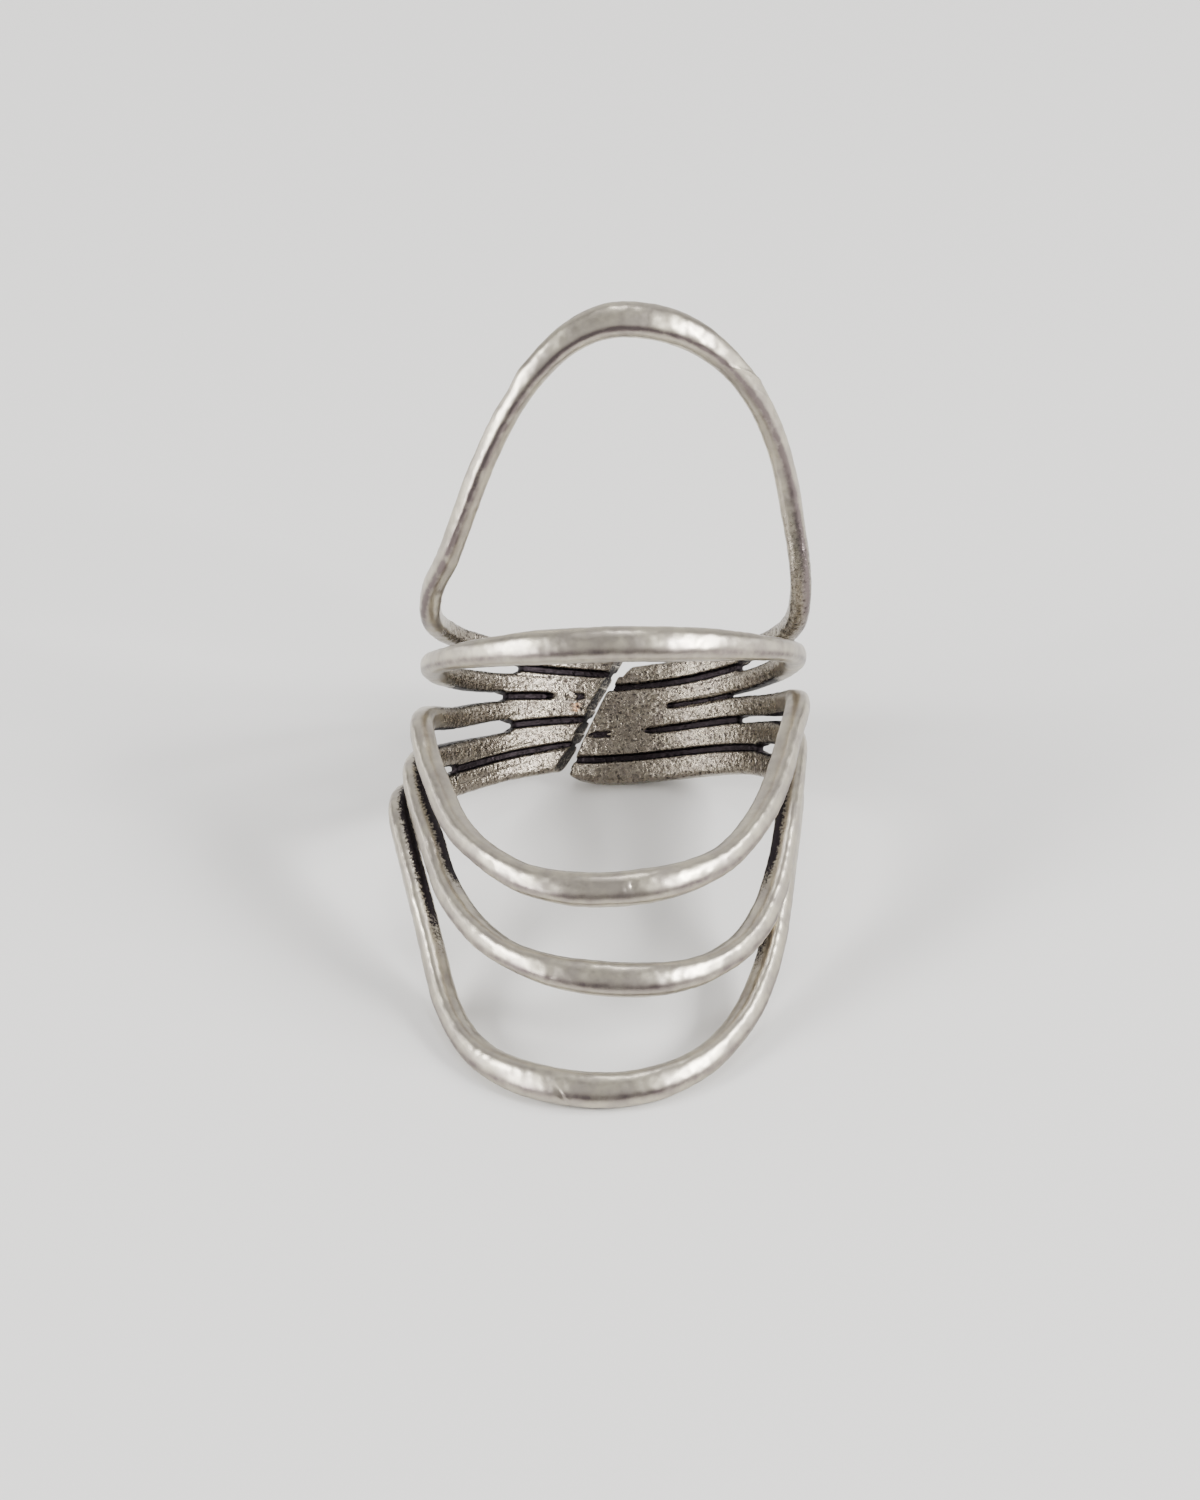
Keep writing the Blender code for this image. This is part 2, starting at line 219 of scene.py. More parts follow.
# The metal between neighbouring strands: its depth in millimetres, at angles from its start to the split.
# It is a recessed groove painted black, patina with painted shade in the gap between the strands, or flush
# with the strands where they are fused, but for a few black slots.
FLUSH = 1.09
GROOVE = 0.50
SLOT = 0.82
# How much further a web reaches along the strands than in its middle, in degrees, and how much of its width
# lies in the gap between them
POINTED = 6.0
GAP_SHARE = 0.50
# Beside a wide gap's strands the web's metal runs up to them: how far from the gap's middle, in millimetres
FILLET_FROM = 0.12
FILLET_TO = 0.25
# A web's start is hollowed between its strands: how deep, and how far along the web that pull reaches
HOLLOW = 0.55 * MM
HOLLOW_REACH = 1.6 * MM
Web = namedtuple("Web", "upper lower profile")
LEFT_FUSED = ((-143.0, GROOVE), (-157.5, GROOVE), (-160.5, FLUSH), (-180.0, FLUSH))
LEFT_SLOT = ((-167.5, FLUSH), (-168.5, SLOT), (-170.5, SLOT), (-172.0, FLUSH))
UPPER_RIGHT_FUSED = ((138.0, GROOVE), (159.0, GROOVE), (162.0, FLUSH), (190.0, FLUSH))
RIGHT_FUSED = ((134.0, GROOVE), (167.0, GROOVE), (169.5, FLUSH), (200.0, FLUSH))
RIGHT_SLOT = ((180.5, FLUSH), (182.0, SLOT), (186.5, SLOT), (187.5, FLUSH))
WEBS = {
    "web_left_1": Web("arch", "hoop", ((-149.0, GROOVE), (-180.0, GROOVE))),
    "web_left_2": Web("hoop", "swag_short", LEFT_FUSED[:3] + LEFT_SLOT + LEFT_FUSED[3:]),
    "web_left_3": Web("swag_short", "swag_middle", ((-146.0, GROOVE), (-180.0, GROOVE))),
    "web_left_4": Web("swag_middle", "swag_long", ((-122.0, GROOVE), (-180.0, GROOVE))),
    "web_right_1": Web("arch", "hoop", ((134.0, GROOVE), (180.0, GROOVE))),
    "web_right_2": Web("hoop", "swag_short", UPPER_RIGHT_FUSED),
    "web_right_3": Web("swag_short", "swag_middle", RIGHT_FUSED[:3] + RIGHT_SLOT + RIGHT_FUSED[3:]),
    "web_right_4": Web("swag_middle", "swag_long", ((124.0, GROOVE), (190.0, GROOVE))),
}

# Where the sides that face a neighbouring wire turn black, patina with painted shade between the wires: the
# angle from the front on the left and on the right, for a wire's upper side and its lower one
NEVER = 999.0
TarnishAndShade = namedtuple("TarnishAndShade", "upper_left upper_right lower_left lower_right")
TARNISH_AND_SHADE = {
    "arch": TarnishAndShade(NEVER, NEVER, 118.0, 112.0),
    "hoop": TarnishAndShade(120.0, 116.0, 108.0, 104.0),
    "swag_short": TarnishAndShade(112.0, 108.0, 80.0, 68.0),
    "swag_middle": TarnishAndShade(56.0, 54.0, 82.0, 72.0),
    "swag_long": TarnishAndShade(68.0, 51.0, NEVER, NEVER),
}
TARNISH_AND_SHADE_BLEND = 12.0
# Beside the finger only a side's inner part is black, patina with painted shade: where the black fades
# across the wire's depth, from -1 inside to 1 outside, and how black it is at most
BlackFade = namedtuple("BlackFade", "inner outer share")
LEFT_BLACK_FADE = BlackFade(-0.35, 0.50, 0.95)
RIGHT_BLACK_FADE = BlackFade(-0.35, 0.40, 1.0)
# The stripe of painted dark reflection along a wire's front: its place across the wire, where 1 is the
# lower edge, its width and its strength
Stripe = namedtuple("Stripe", "place width strength")
SWAG_STRIPE = Stripe(0.50, 0.25, 1.4)
ARCH_STRIPE = Stripe(0.62, 0.15, 2.2)
LEG_STRIPE = Stripe(0.80, 0.24, 2.2)
# A spot on one strand where the silver has worn through to the brass: the angle, and how far it reaches
BRASS_ANGLE = -167.6
BRASS_REACH = 1.8

# The split's faces: how far each slants along the finger, and how far askew it is cut through the band
Face = namedtuple("Face", "slant skew")
LEFT_FACE = Face(30.0, 22.0)
RIGHT_FACE = Face(25.0, 13.0)
ARCH_FACE = Face(40.0, 13.0)
SHEARED = 1.0 * MM
# The worn edge of a cut face: how far out each ring of corners lies, its size, and how black it is
END_ROUNDING = ((0.02, 0.985, 0.0), (0.035, 0.96, 0.0), (0.040, 0.92, 0.45), (0.040, 0.78, 0.70))

# How the ring leans back at rest, and the small worn flats that it then stands on
REST_PITCH = -44.20
REST_ROLL = 3.85
FLAT_DEPTH = 0.07 * MM

# The camera, in the ring's frame: its distance, how far below the hoop's plane it looks up from, and where
# the picture's middle lies beside the hoop's middle, in the photograph's pixels
CAMERA_DISTANCE = 280.0 * MM
CAMERA_BELOW = 6.5
PIXELS_PER_METRE = 19150.0
PICTURE_HEIGHT = 1500
HOOP_MIDDLE_RIGHT = 12.5
HOOP_MIDDLE_DOWN = -83.5
SENSOR_HEIGHT = 36.0

FLOOR_SIZE = 3.0
FLOOR_DROP = 0.01 * MM
FLOOR_COLOUR = (0.74, 0.73, 0.712, 1.0)


def smoothstep(value, low, high):
    """0 below low, 1 above high, and an even blend between."""
    t = np.clip((value - low) / (high - low), 0.0, 1.0)
    return t * t * (3.0 - 2.0 * t)


def natural_spline(places, values, at):
    """Natural cubic spline through one row of values for each place, read at new places."""
    steps = np.diff(places)
    slopes = np.diff(values, axis=0) / steps[:, None]
    system = np.eye(len(places))
    bends = np.zeros_like(values)
    for i in range(1, len(places) - 1):
        system[i, i - 1 : i + 2] = steps[i - 1], 2.0 * (steps[i - 1] + steps[i]), steps[i]
        bends[i] = 6.0 * (slopes[i] - slopes[i - 1])
    bends = np.linalg.solve(system, bends)
    k = np.clip(np.searchsorted(places, at) - 1, 0, len(steps) - 1)
    step = steps[k][:, None]
    before = (at - places[k])[:, None]
    after = step - before
    bent = bends[k] * (after**3 - after * step**2) + bends[k + 1] * (before**3 - before * step**2)
    return bent / (6.0 * step) + (values[k] * after + values[k + 1] * before) / step


def on_finger(angle, radius, height):
    """Points in the ring's frame from angles in degrees, radii and heights."""
    turn = np.radians(angle)
    return np.stack([radius * np.sin(turn), -radius * np.cos(turn), height], axis=1)


def split_angle(along_x, left):
    """The angle at which a strand meets the split, from its place along X."""
    turn = math.degrees(math.asin(along_x * MM / CENTRE_RADIUS))
    return -180.0 - turn if left else 180.0 - turn


def wire_samples(name):
    """Close samples of a wire's centre line: angles, radii and heights, cut off at the split."""
    rows = np.array(PATHS[name])
    rows[:, 1:] *= MM
    rows[:, 1] += CENTRE_RADIUS
    unrolled = np.stack([np.radians(rows[:, 0]) * rows[:, 1], rows[:, 2]], axis=1)
    places = np.concatenate([[0.0], np.cumsum(np.linalg.norm(np.diff(unrolled, axis=0), axis=1))])
    at = np.arange(0.0, places[-1], SAMPLE_STEP)
    angle, radius, height = natural_spline(places, rows, at).T
    inside = (angle > split_angle(ENDS[name].left, True)) & (angle < split_angle(ENDS[name].right, False))
    return angle[inside], radius[inside], height[inside]


def wire_size(name, angle):
    """A wire's width and depth at some angles."""
    wire = WIRES[name]
    from_front = smoothstep(np.abs(angle - wire.middle), wire.front_until, wire.side_from)
    from_side = smoothstep(np.abs(angle), SIDE_UNTIL, BACK_FROM)
    side_width = wire.side_width + (wire.back_width - wire.side_width) * from_side
    side_depth = wire.side_depth + (BACK_DEPTH - wire.side_depth) * from_side
    width = wire.front_width + (side_width - wire.front_width) * from_front
    depth = wire.front_depth + (side_depth - wire.front_depth) * from_front
    if ENDS[name].taper:
        to_end = np.radians(split_angle(ENDS[name].right, False) - angle) * CENTRE_RADIUS / MM
        rounding = 1.0 - np.clip(to_end / ENDS[name].taper, 0.0, 1.0)
        width *= TAPERED_SHARE + (1.0 - TAPERED_SHARE) * np.sqrt(1.0 - rounding**2)
    return width * MM, depth * MM


# The hand-made unevenness of the whole casting, and the pitting that cleaning left on the inner faces
WAVE_SIZE = 2.2 * MM
WAVE_HEIGHT = 0.045 * MM
LUMP_SIZE = 0.45 * MM
LUMP_HEIGHT = 0.020 * MM
PIT_SIZE = 0.22 * MM
PIT_DEPTH = 0.050 * MM
PIT_SHARE = 0.75
ETCH_SIZE = 0.17 * MM
ETCH_HEIGHT = 0.022 * MM
# How unevenly the black spills over the sides' edges
SPILL_SIZE = 0.14 * MM
SPILL = 0.07
# Mixes a cell's three numbers into five scattered ones
SCATTER = np.array([
    [12.9898, 39.3461, 73.1561, 26.6510, 57.5830],
    [78.2330, 11.1350, 52.2350, 93.7190, 31.8170],
    [37.7190, 83.1550, 9.1510, 61.5370, 45.1640],
])

# Single marks on the wires: the angle, the place across the wire (-1 its top), how far each reaches along
# (degrees) and across, how far the surface stands out there in millimetres, and its lean along the wire
Mark = namedtuple("Mark", "wire angle across long wide height lean")
MARKS = (
    Mark("arch", -26.5, -1.00, 1.8, 0.60, 0.065, 0.0),
    Mark("arch", -31.5, -1.00, 2.2, 0.60, -0.055, 0.0),
    Mark("arch", 45.0, -0.25, 0.7, 0.80, 0.080, -6.7),
    Mark("arch", 50.5, 0.10, 0.7, 0.50, 0.060, -5.0),
    Mark("arch", -63.0, 0.60, 2.4, 0.50, 0.050, 0.0),
    Mark("hoop", 94.0, -0.50, 3.0, 0.60, 0.080, 0.0),
    Mark("swag_short", 5.6, -0.05, 0.7, 0.20, -0.080, 0.0),
    Mark("swag_short", 2.7, 0.17, 0.5, 0.16, 0.045, 0.0),
    Mark("swag_long", -14.1, 0.60, 0.45, 0.38, -0.090, 4.7),
    Mark("swag_long", -13.1, 0.60, 0.45, 0.33, 0.045, 4.7),
    Mark("swag_long", -79.7, -0.70, 1.2, 0.40, 0.060, 0.0),
)


def noise_at(points, size, offset=Vector()):
    """Smooth noise from about -1 to 1 at each point, with lumps about as large as size."""
    return np.array([noise.noise(Vector(point) / size + offset) for point in points])


def pits_at(points):
    """How deep each point lies in a round pit, from 0 to 1, with at most one pit in a cell."""
    cell = np.floor(points / PIT_SIZE)
    deepest = np.zeros(len(points))
    for step in np.ndindex(3, 3, 3):
        near = cell + np.array(step) - 1.0
        random = np.modf(np.abs(np.sin(near @ SCATTER)) * 4375.85)[0]
        middle = (near + 0.15 + 0.7 * random[:, :3]) * PIT_SIZE
        radius = PIT_SIZE * np.where(random[:, 4] < PIT_SHARE, 0.16 + 0.26 * random[:, 3] ** 2, 0.001)
        away = np.linalg.norm(points - middle, axis=1) / radius
        deepest = np.maximum(deepest, 1.0 - away**2)
    return deepest


def marked(name, angle, u, v):
    """How far a wire's single marks lift its outer face."""
    lift = np.zeros(len(angle))
    for mark in MARKS:
        if mark.wire == name:
            along = (angle - mark.angle - mark.lean * (u - mark.across)) / mark.long
            across = (u - mark.across) / mark.wide
            lift += mark.height * MM * np.exp(-along**2 - across**2) * smoothstep(v, -0.4, 0.3)
    return lift


def weathering(name, points, angle, u, v):
    """How far the surface stands out from its even shape, how pitted it is, and how rough."""
    lift = WAVE_HEIGHT * noise_at(points, WAVE_SIZE) + LUMP_HEIGHT * noise_at(points, LUMP_SIZE)
    rough = smoothstep(np.abs(angle), 95.0, 120.0) * (0.35 + 0.65 * smoothstep(-v, 0.2, 0.8))
    if name == "arch":
        rough = np.maximum(rough, 0.7 * smoothstep(angle, 72.0, 84.0))
    lift += ETCH_HEIGHT * rough * noise_at(points, ETCH_SIZE) + marked(name, angle, u, v)
    pits = smoothstep(pits_at(points), 0.0, 0.8) * smoothstep(rough, 0.25, 0.8)
    return lift - PIT_DEPTH * pits, pits, rough


def tarnished_and_shaded(name, angle, u, v, spill):
    """How black a wire's sides are, from 0 to 1, where they face a neighbour: patina with painted shade."""
    sides = TARNISH_AND_SHADE[name]
    from_upper = np.where(angle < 0.0, sides.upper_left, sides.upper_right)
    from_lower = np.where(angle < 0.0, sides.lower_left, sides.lower_right)
    start = np.where(u < 0.0, from_upper, from_lower)
    along = smoothstep(np.abs(angle), start, start + TARNISH_AND_SHADE_BLEND)
    back = smoothstep(np.abs(angle), 100.0, 125.0)
    edge = 0.55 + 0.33 * back
    side = smoothstep(np.abs(u) + spill, edge, edge + 0.30 - 0.18 * back)
    dark = np.zeros(len(angle))
    # How far the black, patina with painted shade, reaches across each side
    for half, worn in ((angle < 0.0, LEFT_BLACK_FADE), (angle >= 0.0, RIGHT_BLACK_FADE)):
        left_over = 1.0 - smoothstep(v + 2.5 * spill, worn.inner, worn.outer) * (1.0 - back)
        dark[half] = (along * side * left_over * (worn.share + (1.0 - worn.share) * back))[half]
    return dark


def striped(name, angle, u, v):
    """How strong the painted reflection stripe is along a wire's front."""
    place, width, strength = SWAG_STRIPE
    if name == "arch":
        leg = smoothstep(np.abs(angle - WIRES[name].middle), 15.0, 50.0)
        place, width, strength = [top + (low - top) * leg for top, low in zip(ARCH_STRIPE, LEG_STRIPE)]
    back = smoothstep(np.abs(angle), 85.0, 110.0)
    return strength * np.exp(-(((u - place) / width) ** 2)) * smoothstep(v, 0.0, 0.4) * (1.0 - back)


def corners(angle):
    """Where a section's corners lie: u across the wire, -1 at its top, and v away from the finger."""
    turn = 2.0 * np.pi * (np.arange(SIDES) + 0.5) / SIDES
    back = smoothstep(np.abs(angle), SIDE_UNTIL, BACK_FROM)
    power = (FRONT_SQUARENESS + (BACK_SQUARENESS - FRONT_SQUARENESS) * back)[:, None]
    size = (np.abs(np.cos(turn)) ** power + np.abs(np.sin(turn)) ** power) ** (-1.0 / power)
    return np.cos(turn) * size, np.sin(turn) * size


def web_corners(count):
    """The corners of a web's sections: flat faces, with most corners in the gap between the strands."""
    place = np.linspace(1.0, -1.0, SIDES // 2 + 1)[:-1] - 1.0 / SIDES
    across = place * (0.45 + 0.55 * place**2)
    outer = (1.0 - np.abs(across) ** WEB_SQUARENESS) ** (1.0 / WEB_SQUARENESS)
    u = np.concatenate([across, -across])
    v = np.concatenate([outer, -outer])
    return np.tile(u, (count, 1)), np.tile(v, (count, 1))


def in_gap(u):
    """From 0 in the middle of the gap between two strands to 1 at the strands themselves."""
    return np.minimum(np.abs(u) / GAP_SHARE, 1.0) ** 2


def rounded_sections(points, u, v, width, depth):
    """A ring of corners round each point: width lies in the finger's surface, depth points away from it."""
    along = np.gradient(points, axis=0)
    along /= np.linalg.norm(along, axis=1)[:, None]
    away = points * (1.0, 1.0, 0.0)
    away /= np.linalg.norm(away, axis=1)[:, None]
    across = np.cross(along, away)
    across /= np.linalg.norm(across, axis=1)[:, None]
    outward = np.cross(across, along)
    sideways = across[:, None] * (u * width / 2.0)[:, :, None]
    outwards = outward[:, None] * (v * depth / 2.0)[:, :, None]
    return sideways + outwards, along


def slide_to_face(sections, run, centre, along, face, row):
    """Shear the last stretch of a tube, so that it ends on a face of the split."""
    across = np.array([1.0, -math.tan(math.radians(face.skew)), -math.tan(math.radians(face.slant))])
    slide = ((centre - sections[row]) @ across) / (along[row] @ across)
    share = 1.0 - smoothstep(np.abs(run - run[row]), 0.0, SHEARED)
    return sections + along[:, None] * (slide[None, :] * share[:, None])[:, :, None]


def make_piece(name, angle, points, corner, size, ends, silver):
    """A closed, weathered tube along the points, through corners u and v, scaled to a width and a depth."""
    u, v = corner
    width, depth = size
    reach, along = rounded_sections(points, u, v, width, depth)
    sections = points[:, None] + reach
    run = np.concatenate([[0.0], np.cumsum(np.linalg.norm(np.diff(points, axis=0), axis=1))])
    if name in WEBS:
        pull = HOLLOW * in_gap(u) * (1.0 - smoothstep(run, 0.0, HOLLOW_REACH))[:, None]
        sections = sections - along[:, None] * pull[:, :, None]
    for row, face in zip((0, -1), ends):
        if face is not None:
            sections = slide_to_face(sections, run, points[row], along, face, row)
    direction = reach / np.linalg.norm(reach, axis=2)[:, :, None]
    angles = np.repeat(angle, SIDES)
    flat = sections.reshape(-1, 3)
    lift, pits, rough = weathering(name, flat, angles, u.ravel(), v.ravel())
    sections = sections + direction * lift.reshape(len(points), SIDES, 1)
    spill = SPILL * noise_at(flat, SPILL_SIZE)
    stripe = np.zeros(len(flat))
    brass = np.zeros(len(flat))
    if name in WIRES:
        # Black where the sides face a neighbour: patina with painted shade
        dark = tarnished_and_shaded(name, angles, u.ravel(), v.ravel(), spill)
        # The stripe along the fronts is a painted dark reflection
        stripe = striped(name, angles, u.ravel(), v.ravel())
    else:
        # A web's recessed metal is black: patina with painted shade in the gap between the strands
        dark = 1.0 - smoothstep(depth.ravel() / MM + 2.0 * spill, 0.80, 1.04)
    if name == "swag_short":
        brass = np.exp(-(((angles - BRASS_ANGLE) / BRASS_REACH) ** 2)) * smoothstep(-v.ravel(), 0.0, 0.5)
    fields = {"dark": dark, "pits": pits, "rough": rough, "stripe": stripe, "brass": brass}
    return closed_tube(name, sections, along, fields, silver)


def closed_tube(name, sections, along, fields, silver):
    """A tube through the sections, with worn edges at both ends, as a piece of the ring."""
    first = []
    last = []
    for outward, share, _ in END_ROUNDING:
        for end, row, sign in ((first, 0, -1.0), (last, -1, 1.0)):
            middle = sections[row].mean(axis=0)
            end.append(middle + (sections[row] - middle) * share + sign * along[row] * outward * MM)
    sections = np.concatenate([np.array(first[::-1]), sections, np.array(last)])
    ring = np.arange(SIDES)
    after = (ring + 1) % SIDES
    start = (np.arange(len(sections) - 1) * SIDES)[:, None]
    quads = np.stack([start + SIDES + ring, start + SIDES + after, start + after, start + ring], axis=2)
    faces = quads.reshape(-1, 4).tolist()
    faces += [ring.tolist(), (ring[::-1] + (len(sections) - 1) * SIDES).tolist()]
    mesh = bpy.data.meshes.new(name)
    mesh.from_pydata(at_rest(sections.reshape(-1, 3)).tolist(), [], faces)
    for key, field in fields.items():
        rows = field.reshape(-1, SIDES)
        rows = np.pad(rows, ((len(END_ROUNDING), len(END_ROUNDING)), (0, 0)), mode="edge")
        for edge, (_, _, black) in enumerate(reversed(END_ROUNDING)):
            both = [edge, -1 - edge]
            if key == "dark":
                rows[both] = np.maximum(rows[both], black)
            elif key == "rough":
                rows[both] = 0.0
        attribute = mesh.attributes.new(key, "FLOAT", "POINT")
        attribute.data.foreach_set("value", rows.ravel().astype(np.float32))
    mesh.shade_smooth()
    mesh.materials.append(silver)
    piece = bpy.data.objects.new(name, mesh)
    bpy.context.scene.collection.objects.link(piece)
    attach(piece, "root")
    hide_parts(NODE)
    return piece


def spaced(angle, radius, height):
    """Angles and points along a line, closer together behind the finger."""
    points = on_finger(angle, radius, height)
    middles = (np.abs(angle[1:]) + np.abs(angle[:-1])) / 2.0
    step = FRONT_STEP + (BACK_STEP - FRONT_STEP) * smoothstep(middles, 90.0, 115.0)
    count = np.concatenate([[0.0], np.cumsum(np.linalg.norm(np.diff(points, axis=0), axis=1) / step)])
    at = np.linspace(0.0, count[-1], math.ceil(count[-1]) + 1)
    columns = [np.interp(at, count, column) for column in (angle, radius, height)]
    return columns[0], on_finger(*columns)


def make_wire(name, silver):
    """One of the five wires, from one face of the split round the finger to the other."""
    angle, points = spaced(*wire_samples(name))
    size = [column[:, None] for column in wire_size(name, angle)]
    faces = (LEFT_FACE, ARCH_FACE if name == "arch" else RIGHT_FACE)
    return make_piece(name, angle, points, corners(angle), size, faces, silver)


def make_web(name, silver):
    """The metal between two neighbouring strands, from its start to the split."""
    web = WEBS[name]
    start = web.profile[0][0]
    left = start < 0.0
    ends = [ENDS[wire].left if left else ENDS[wire].right for wire in (web.upper, web.lower)]
    stop = split_angle(sum(ends) / 2.0, left)
    length = math.radians(abs(stop - start)) * CENTRE_RADIUS
    count = math.ceil(length / BACK_STEP) + 1
    u, v = web_corners(count)
    angle = np.linspace(start, stop, count)
    strands = []
    for wire in (web.upper, web.lower):
        strand_angle, radius, height = wire_samples(wire)
        strands.append((np.interp(angle, strand_angle, radius), np.interp(angle, strand_angle, height)))
    (upper_radius, upper_height), (lower_radius, lower_height) = strands
    points = on_finger(angle, (upper_radius + lower_radius) / 2.0, (upper_height + lower_height) / 2.0)
    places, depths = np.abs(web.profile).T
    depth = np.interp(np.abs(angle)[:, None] + POINTED * in_gap(u), places, depths)
    apart = (upper_height - lower_height)[:, None]
    depth += (FLUSH - depth) * smoothstep(np.abs(u) * apart / 2.0 / MM, FILLET_FROM, FILLET_TO)
    size = (apart, depth * MM)
    faces = (None, LEFT_FACE if left else RIGHT_FACE)
    return make_piece(name, angle, points, (u, v), size, faces, silver)


# How the ring leans back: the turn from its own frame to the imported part's
LEAN = Matrix.Rotation(math.radians(REST_ROLL), 4, "Y") @ Matrix.Rotation(math.radians(REST_PITCH), 4, "X")


def rest_origin():
    """Where the ring's own origin lies at rest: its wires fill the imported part's box, flats included."""
    turned = []
    for name in WIRES:
        angle, points = spaced(*wire_samples(name))
        width, depth = wire_size(name, angle)
        reach = rounded_sections(points, *corners(angle), width[:, None], depth[:, None])[0]
        turned.append((points[:, None] + reach).reshape(-1, 3) @ np.array(LEAN.to_3x3()).T)
    turned = np.concatenate(turned)
    low, high = (np.array(corner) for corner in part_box(NODE))
    low[2] -= FLAT_DEPTH
    return (low + high) / 2.0 - (turned.min(axis=0) + turned.max(axis=0)) / 2.0


ORIGIN = rest_origin()


def at_rest(points):
    """Points of the ring's own frame where they lie at rest, worn flat where they meet the floor."""
    placed = points @ np.array(LEAN.to_3x3()).T + ORIGIN
    placed[:, 2] = np.maximum(placed[:, 2], 0.0)
    return placed


def node(tree, kind, **values):
    """A shader node with some of its settings given."""
    made = tree.nodes.new(kind)
    for key, value in values.items():
        setattr(made, key, value)
    return made


# The silver's colours, from its light and grey clouds to the black in its recesses, patina with painted
# shade, and the painted dark reflection of the stripe
LIGHT_CLOUDS = (0.505, 0.462, 0.37)
GREY_CLOUDS = (0.395, 0.356, 0.305)
PITTED = (0.18, 0.154, 0.12)
MOTTLES = (0.10, 0.08, 0.065)
SPECKS = (0.04, 0.032, 0.028)
SMUDGES = (0.20, 0.175, 0.16)
DARK_REFLECTION = (0.165, 0.135, 0.13)
BRASS = (0.30, 0.165, 0.085)
BLACK = (0.020, 0.016, 0.018)
SAND_HEIGHT = 0.045 * MM


def make_silver():
    """Antique silver, worn satin where it is rubbed, black in its pits, with patina and painted shade in
    its recesses and a painted reflection stripe along the fronts.
    """
    material = bpy.data.materials.new("antique_silver")
    material.use_nodes = True
    tree = material.node_tree
    link = tree.links.new
    shader = tree.nodes["Principled BSDF"]
    shader.inputs["Metallic"].default_value = 1.0
    where = node(tree, "ShaderNodeTexCoord").outputs["Object"]

    def grain(scale, detail=2.0, rough=0.5):
        made = node(tree, "ShaderNodeTexNoise")
        made.inputs["Scale"].default_value = scale
        made.inputs["Detail"].default_value = detail
        made.inputs["Roughness"].default_value = rough
        link(where, made.inputs["Vector"])
        return made.outputs["Fac"]

    def ranged(value, low, high, to_low, to_high):
        made = node(tree, "ShaderNodeMapRange")
        for key, number in (("From Min", low), ("From Max", high), ("To Min", to_low), ("To Max", to_high)):
            made.inputs[key].default_value = number
        link(value, made.inputs["Value"])
        return made.outputs["Result"]

    def mixed(share, first, second):
        made = node(tree, "ShaderNodeMix", data_type="RGBA")
        link(share, made.inputs[0])
        for socket, colour in ((made.inputs[6], first), (made.inputs[7], second)):
            if isinstance(colour, tuple):
                socket.default_value = (*colour, 1.0)
            else:
                link(colour, socket)
        return made.outputs[2]

    def worked(operation, first, second):
        made = node(tree, "ShaderNodeMath", operation=operation, use_clamp=True)
        for socket, value in zip(made.inputs, (first, second)):
            if isinstance(value, float):
                socket.default_value = value
            else:
                link(value, socket)
        return made.outputs[0]

    def field(name):
        return node(tree, "ShaderNodeAttribute", attribute_name=name).outputs["Fac"]

    # Cloudy metal, browner and darker where it is rough, with a fine dark speckle
    tone = mixed(ranged(grain(900.0, 4.0), 0.38, 0.62, 0.0, 1.0), GREY_CLOUDS, LIGHT_CLOUDS)
    tone = mixed(worked("MULTIPLY", field("rough"), 0.70), tone, PITTED)
    mottle = ranged(grain(3600.0, 5.0, 0.7), 0.45, 0.64, 0.0, 0.7)
    tone = mixed(worked("MULTIPLY", mottle, field("rough")), tone, MOTTLES)
    speckle = ranged(grain(7500.0, 3.0, 0.6), 0.55, 0.61, 0.0, 0.9)
    tone = mixed(worked("MULTIPLY", speckle, worked("ADD", field("rough"), 0.03)), tone, SPECKS)
    smudge = ranged(grain(1700.0, 2.0), 0.52, 0.75, 0.0, 0.35)
    tone = mixed(smudge, tone, SMUDGES)
    # A painted dark reflection in a stripe along the wires' fronts
    stripe = worked("MULTIPLY", field("stripe"), ranged(grain(1200.0, 4.0, 0.6), 0.3, 0.65, 0.25, 0.75))
    tone = mixed(stripe, tone, DARK_REFLECTION)
    tone = mixed(worked("MULTIPLY", field("brass"), 0.7), tone, BRASS)
    # Black in the recesses, patina with painted shade, and in the pits, with a speckled border
    border = ranged(grain(8000.0, 2.0), 0.38, 0.62, -0.18, 0.18)
    dark = ranged(worked("ADD", field("dark"), border), 0.25, 0.75, 0.0, 1.0)
    dark = worked("MULTIPLY", dark, ranged(field("dark"), 0.0, 0.2, 0.0, 1.0))
    dark = worked("MAXIMUM", dark, field("pits"))
    tone = mixed(dark, tone, BLACK)
    link(tone, shader.inputs["Base Color"])

    # An even satin in front, and patchier and glossier metal on the pitted faces
    patchy = grain(4800.0, 3.0)
    glossier = worked("MULTIPLY", field("rough"), ranged(patchy, 0.3, 0.7, 0.15, 0.02))
    gloss = worked("SUBTRACT", ranged(patchy, 0.3, 0.7, 0.29, 0.35), glossier)
    gloss = worked("ADD", gloss, worked("MULTIPLY", dark, 0.2))
    link(gloss, shader.inputs["Roughness"])

    # A sandy grain in the metal, stronger on the pitted inner faces
    fine = node(tree, "ShaderNodeBump")
    fine.inputs["Strength"].default_value = 1.0
    fine.inputs["Distance"].default_value = SAND_HEIGHT
    sand = worked("MULTIPLY", grain(7000.0, 3.0, 0.6), worked("ADD", field("rough"), 0.03))
    link(sand, fine.inputs["Height"])
    link(fine.outputs["Normal"], shader.inputs["Normal"])
    return material


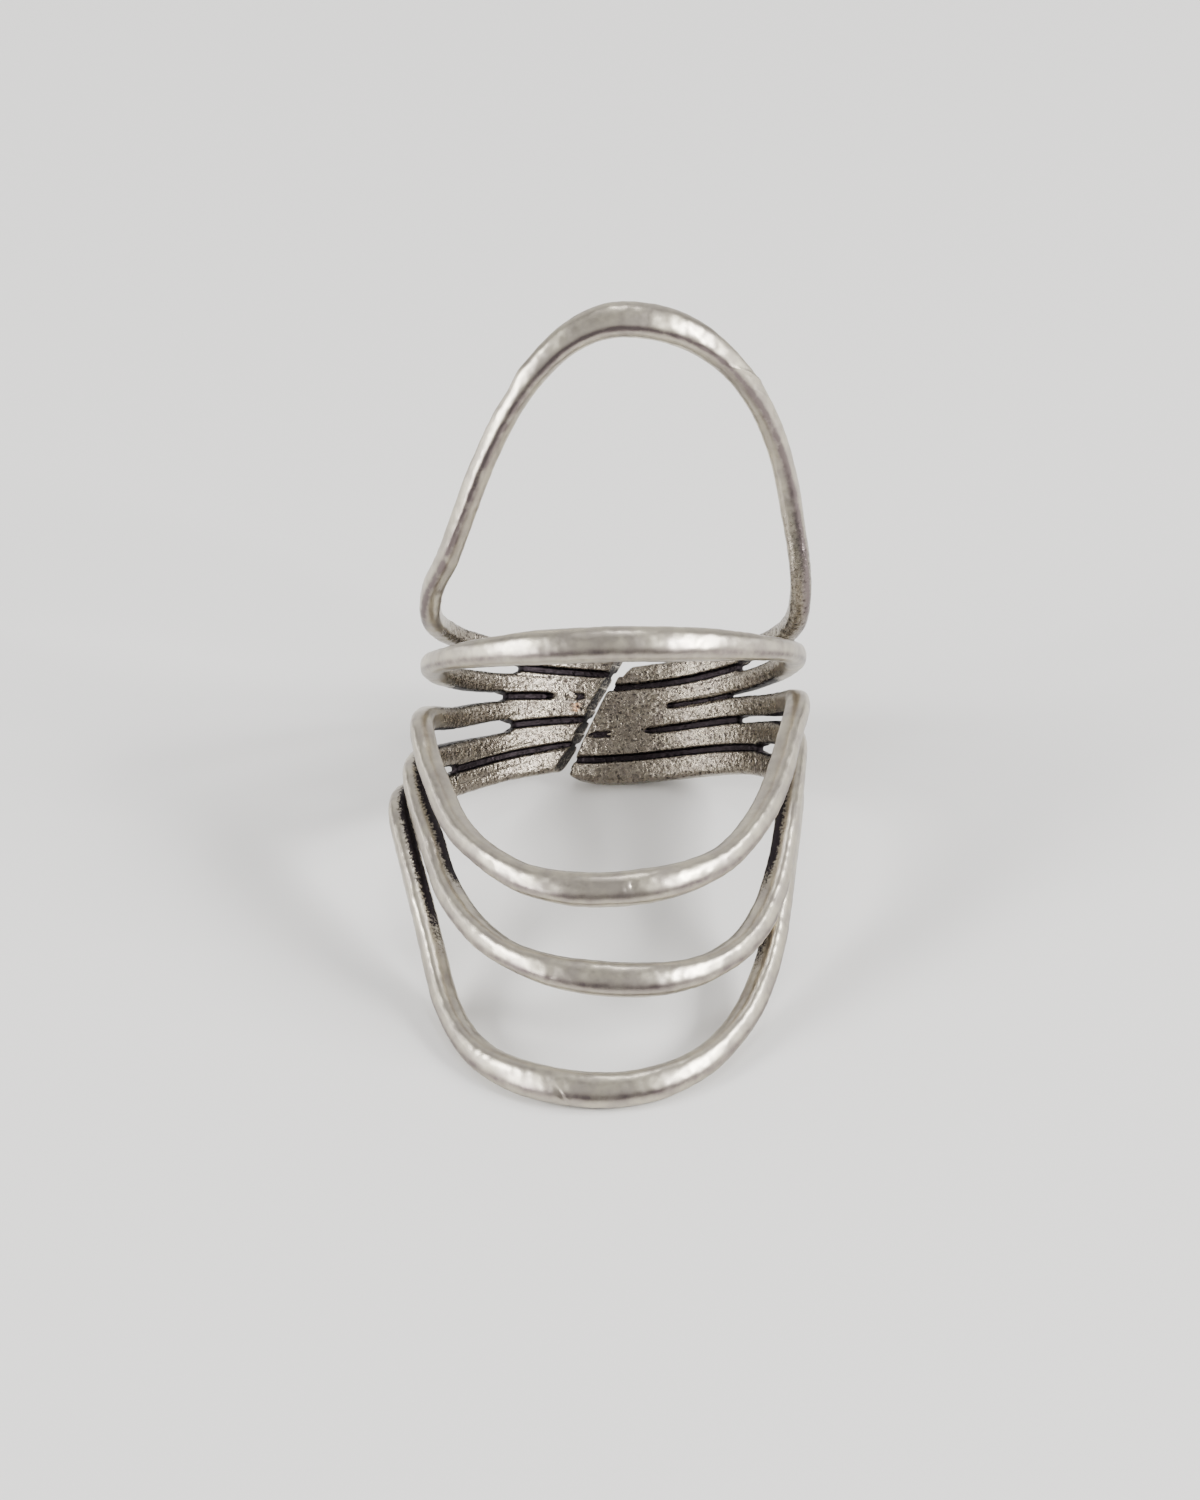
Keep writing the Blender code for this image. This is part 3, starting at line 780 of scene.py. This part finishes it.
def make_floor():
    """A plain pale floor."""
    mesh = bpy.data.meshes.new("floor")
    half = FLOOR_SIZE / 2.0
    square = [(-half, -half, 0), (half, -half, 0), (half, half, 0), (-half, half, 0)]
    mesh.from_pydata(square, [], [(0, 1, 2, 3)])
    material = bpy.data.materials.new("floor")
    material.use_nodes = True
    shader = material.node_tree.nodes["Principled BSDF"]
    shader.inputs["Base Color"].default_value = FLOOR_COLOUR
    shader.inputs["Roughness"].default_value = 0.75
    mesh.materials.append(material)
    floor = bpy.data.objects.new("floor", mesh)
    floor.location.z = -FLOOR_DROP
    bpy.context.scene.collection.objects.link(floor)


def make_camera():
    """The photograph's camera, where it stands once the ring lies on the floor."""
    below = math.radians(CAMERA_BELOW)
    right = Vector((1.0, 0.0, 0.0))
    forward = Vector((0.0, math.cos(below), math.sin(below)))
    up = right.cross(forward)
    to_metres = 1.0 / PIXELS_PER_METRE
    eye = -forward * CAMERA_DISTANCE
    eye -= right * HOOP_MIDDLE_RIGHT * to_metres
    eye += up * HOOP_MIDDLE_DOWN * to_metres
    turn = Matrix((right, up, -forward)).transposed()
    data = bpy.data.cameras.new("camera")
    data.sensor_fit = "VERTICAL"
    data.sensor_height = SENSOR_HEIGHT
    data.lens = SENSOR_HEIGHT * CAMERA_DISTANCE * PIXELS_PER_METRE / PICTURE_HEIGHT
    data.clip_start = 0.01
    camera = bpy.data.objects.new("camera", data)
    camera.matrix_world = Matrix.Translation(ORIGIN) @ LEAN @ (Matrix.Translation(eye) @ turn.to_4x4())
    bpy.context.scene.collection.objects.link(camera)
    bpy.context.scene.camera = camera


# Softboxes: where each stands, its width and height, all in metres, and its brightness
Softbox = namedtuple("Softbox", "place width height brightness")
AIM = Vector((0.0, 0.0, 0.012))
SOFTBOXES = {
    "above": Softbox((0.0, -0.04, 0.55), 0.40, 0.30, 0.8),
    "top_light": Softbox((0.07, 0.06, 0.54), 0.12, 0.09, 12.0),
    "left": Softbox((-0.44, -0.08, 0.28), 0.17, 0.15, 32.0),
    "left_front": Softbox((-0.43, -0.25, 0.17), 0.16, 0.18, 16.0),
    "right": Softbox((0.45, -0.06, 0.29), 0.17, 0.15, 27.0),
    "right_front": Softbox((0.42, -0.22, 0.28), 0.12, 0.12, 75.0),
    "above_back": Softbox((0.0, 0.36, 0.42), 0.80, 0.36, 0.7),
    "back": Softbox((0.0, 0.50, 0.16), 0.90, 0.26, 0.9),
    "low_left": Softbox((-0.50, 0.12, 0.08), 0.50, 0.09, 4.0),
    "low_right": Softbox((0.50, 0.12, 0.08), 0.40, 0.09, 3.0),
    "front": Softbox((0.0, -0.46, 0.42), 0.90, 0.30, 0.45),
}
SKY = (0.40, 0.393, 0.395, 1.0)


def make_lights():
    """Soft studio light: softboxes above and on all sides, in a pale room."""
    for name, box in SOFTBOXES.items():
        data = bpy.data.lights.new(name, "AREA")
        data.shape = "RECTANGLE"
        data.size = box.width
        data.size_y = box.height
        data.energy = box.brightness * math.pi * box.width * box.height
        light = bpy.data.objects.new(name, data)
        light.location = box.place
        light.rotation_euler = (AIM - light.location).to_track_quat("-Z", "Y").to_euler()
        bpy.context.scene.collection.objects.link(light)
    world = bpy.data.worlds.new("studio")
    world.use_nodes = True
    world.node_tree.nodes["Background"].inputs["Color"].default_value = SKY
    bpy.context.scene.world = world


silver = make_silver()
for name in WIRES:
    make_wire(name, silver)
for name in WEBS:
    make_web(name, silver)
make_floor()
make_camera()
make_lights()
